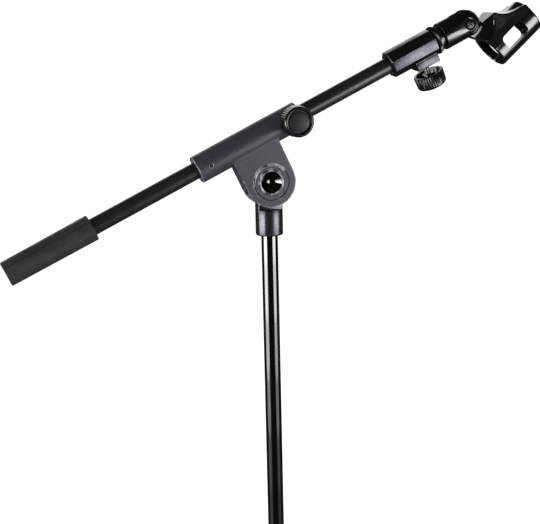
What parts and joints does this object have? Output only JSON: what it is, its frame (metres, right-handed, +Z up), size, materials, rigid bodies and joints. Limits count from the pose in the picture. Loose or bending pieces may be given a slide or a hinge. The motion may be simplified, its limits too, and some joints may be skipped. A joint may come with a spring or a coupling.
{
  "type": "boom microphone stand",
  "caption": "Floor-standing boom microphone stand: folding tripod base, telescopic mast, tilting and sliding boom with counterweight, extension arm and swivelling microphone clip.",
  "frame": {"origin": "on the mast's axis at floor level, midway between the three feet", "axes": "+Z up the mast, +X under the front of the boom (towards the microphone clip), -Y the side with the boom clamp knob"},
  "size_m": [0.5678, 0.4958, 1.342],
  "materials": {
    "cast_metal": "fine-textured powder coat on die-cast metal, matte",
    "black_tube": "black enamel on steel tube, gloss to satin",
    "steel": "bright zinc plate",
    "zinc": "grey-black textured plating",
    "brass": "machined",
    "rubber": "matte moulded",
    "nylon": "matte moulded nylon",
    "knob_plastic": "semi-gloss moulded plastic",
    "casing_plastic": "fine-grained matte plastic over a steel core"
  },
  "bodies": {
    "base": {"tripod_hub": "cast_metal", "hub_bottom_cap": "nylon", "leg_hinge_bolts": "steel", "lower_tube": "black_tube", "clutch_housing": "cast_metal", "clutch_shoe": "nylon"},
    "clutch_liner": {"clutch_bush": "nylon"},
    "clutch_handle": {"clutch_knob": "knob_plastic", "clutch_knob_cap": "knob_plastic", "clutch_knob_screw": "steel"},
    "mast": {"upper_tube": "black_tube", "upper_tube_guide": "nylon", "swivel_head": "cast_metal", "head_grub_screw": "steel"},
    "head": {"boom_casting": "cast_metal", "sleeve_grub_screw": "steel", "sleeve_end_ring": "nylon", "boom_clamp_shoe": "nylon", "tilt_bolt": "steel", "pivot_cap": "knob_plastic", "tilt_washer": "steel"},
    "tilt_handle": {"tilt_knob": "knob_plastic", "tilt_knob_cap": "knob_plastic"},
    "boom_handle": {"boom_knob": "knob_plastic", "boom_knob_cap": "knob_plastic", "boom_knob_screw": "steel"},
    "boom_liner": {"boom_bush_rear": "nylon", "boom_bush_front": "nylon"},
    "boom": {"boom_outer_tube": "black_tube", "counterweight_casing": "casing_plastic", "counterweight_core": "steel", "end_clamp": "cast_metal", "end_clamp_shoe": "nylon"},
    "end_handle": {"end_knob": "knob_plastic", "end_knob_cap": "knob_plastic", "end_knob_screw": "steel"},
    "arm": {"inner_tube": "steel", "inner_tube_guide": "nylon", "thread_stud": "steel"},
    "jam_ring": {"lock_ring": "zinc", "lock_washer": "rubber"},
    "clip_foot": {"clip_base": "knob_plastic", "clip_thread_insert": "brass", "clip_screw": "steel", "clip_nut": "steel"},
    "clip": {"mic_clip": "knob_plastic"},
    "leg_1": {"leg_knuckle_1": "nylon", "leg_tube_1": "black_tube", "leg_foot_1": "rubber"},
    "leg_2": {"leg_knuckle_2": "nylon", "leg_tube_2": "black_tube", "leg_foot_2": "rubber"},
    "leg_3": {"leg_knuckle_3": "nylon", "leg_tube_3": "black_tube", "leg_foot_3": "rubber"}
  },
  "joints": [
    {"name": "leg_1_fold", "type": "hinge", "parent": "base", "child": "leg_1", "pos_m": [0.0155, 0.02685, 0.076], "axis": [0.866, -0.5, 0], "range_deg": [0, 100]},
    {"name": "leg_2_fold", "type": "hinge", "parent": "base", "child": "leg_2", "pos_m": [-0.031, 0, 0.076], "axis": [0, 1, 0], "range_deg": [0, 100]},
    {"name": "leg_3_fold", "type": "hinge", "parent": "base", "child": "leg_3", "pos_m": [0.0155, -0.02685, 0.076], "axis": [-0.866, -0.5, 0], "range_deg": [0, 100]},
    {"name": "height_swivel", "type": "hinge", "parent": "base", "child": "clutch_liner", "pos_m": [0, 0, 0.77], "axis": [0, 0, 1], "continuous": true},
    {"name": "height_slide", "type": "slide", "parent": "clutch_liner", "child": "mast", "axis": [0, 0, 1], "range_m": [-0.28, 0.28]},
    {"name": "height_knob_turn", "type": "hinge", "parent": "base", "child": "clutch_handle", "pos_m": [0, -0.0208, 0.783], "axis": [0, -1, 0], "range_deg": [0, 360]},
    {"name": "boom_tilt", "type": "hinge", "parent": "mast", "child": "head", "pos_m": [0, 0, 1.18], "axis": [0, -1, 0], "range_deg": [-75, 40]},
    {"name": "tilt_knob_turn", "type": "hinge", "parent": "head", "child": "tilt_handle", "pos_m": [0, 0.013, 1.18], "axis": [0, 1, 0], "range_deg": [0, 360]},
    {"name": "boom_knob_turn", "type": "hinge", "parent": "head", "child": "boom_handle", "pos_m": [0.02292, -0.0168, 1.2375], "axis": [0, -1, 0], "range_deg": [0, 360]},
    {"name": "boom_roll", "type": "hinge", "parent": "head", "child": "boom_liner", "pos_m": [-0.01789, 0, 1.21855], "axis": [0.907, 0, 0.421], "continuous": true},
    {"name": "boom_slide", "type": "slide", "parent": "boom_liner", "child": "boom", "axis": [0.907, 0, 0.421], "range_m": [-0.098, 0.105]},
    {"name": "extension_knob_turn", "type": "hinge", "parent": "boom", "child": "end_handle", "pos_m": [0.16632, 0.00274, 1.27533], "axis": [0.4187, 0.1045, -0.9021], "range_deg": [0, 360]},
    {"name": "extension_slide", "type": "slide", "parent": "boom", "child": "arm", "axis": [0.907, 0, 0.421], "range_m": [0, 0.3]},
    {"name": "lock_ring_turn", "type": "hinge", "parent": "arm", "child": "jam_ring", "pos_m": [0.17168, 0, 1.30655], "axis": [0.907, 0, 0.421], "range_deg": [-180, 180]},
    {"name": "clip_spin", "type": "hinge", "parent": "arm", "child": "clip_foot", "pos_m": [0.18619, 0, 1.31328], "axis": [0.907, 0, 0.421], "range_deg": [-170, 170]},
    {"name": "clip_tilt", "type": "hinge", "parent": "clip_foot", "child": "clip", "pos_m": [0.20379, 0, 1.32145], "axis": [0, -1, 0], "range_deg": [-5, 90]}
  ]
}
